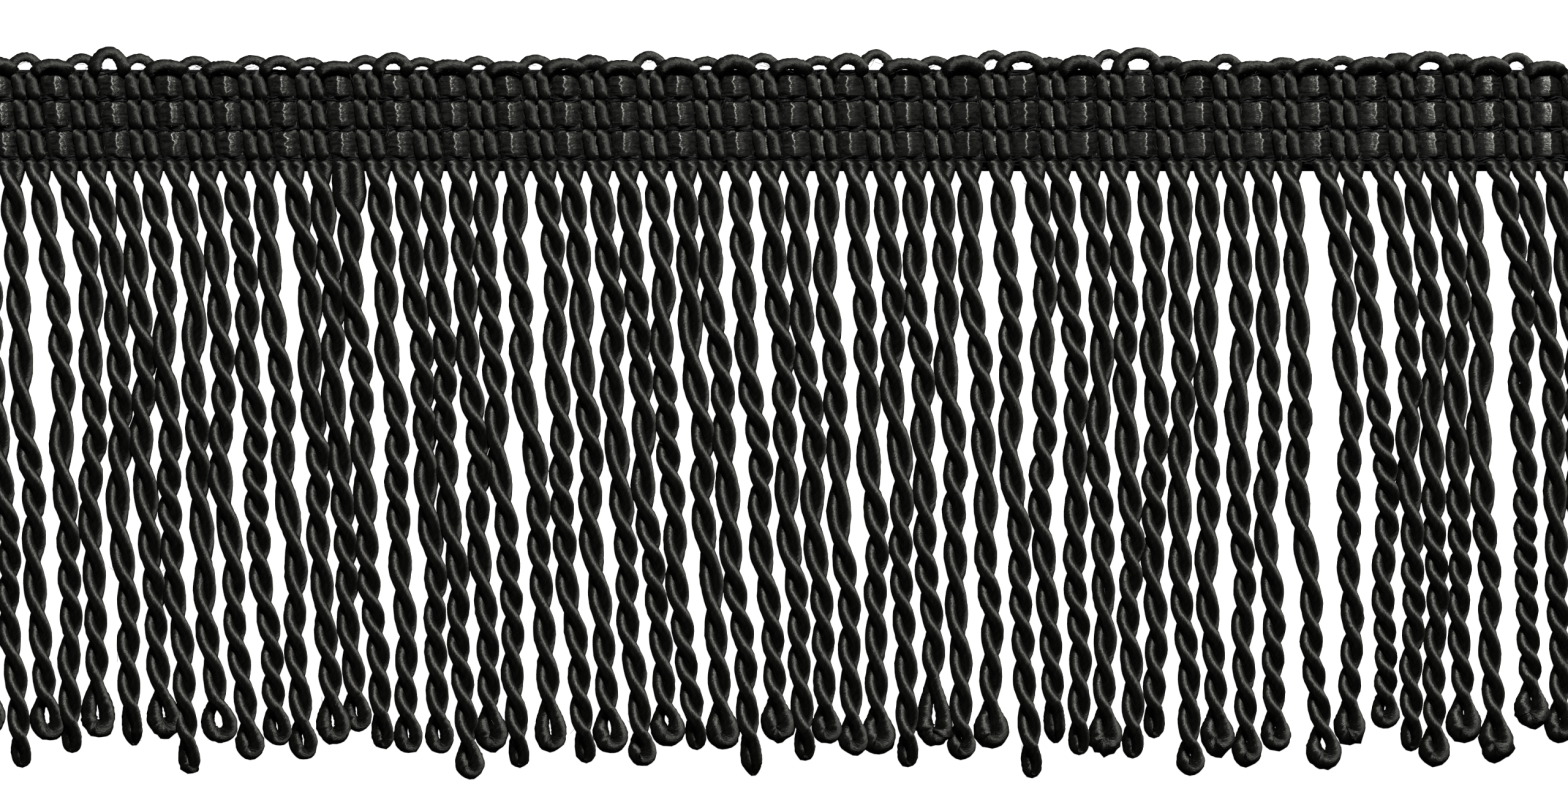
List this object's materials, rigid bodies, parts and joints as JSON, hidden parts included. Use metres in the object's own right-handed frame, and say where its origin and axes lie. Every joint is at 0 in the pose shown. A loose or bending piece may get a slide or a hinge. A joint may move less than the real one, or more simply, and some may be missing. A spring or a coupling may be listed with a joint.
{
  "type": "bullion fringe trim",
  "caption": "Straight length of bullion fringe: a woven corded heading with a looped top edge and a deep skirt of twisted two-ply cords, for edging upholstery, cushions and curtains.",
  "frame": {"origin": "middle of the heading's flat back, the face that is sewn down", "axes": "+X along the heading, +Y from the fringe towards the top loops, +Z out of the cloth's face"},
  "size_m": [0.2368, 0.1035, 0.0032],
  "materials": {
    "heading_weave": "black flat floss with a satin sheen, woven over matt cord",
    "bullion_cord": "black twisted yarn with a soft sheen"
  },
  "bodies": {
    "root": {"heading": "heading_weave", "bullion_fringe": "bullion_cord"}
  },
  "joints": []
}
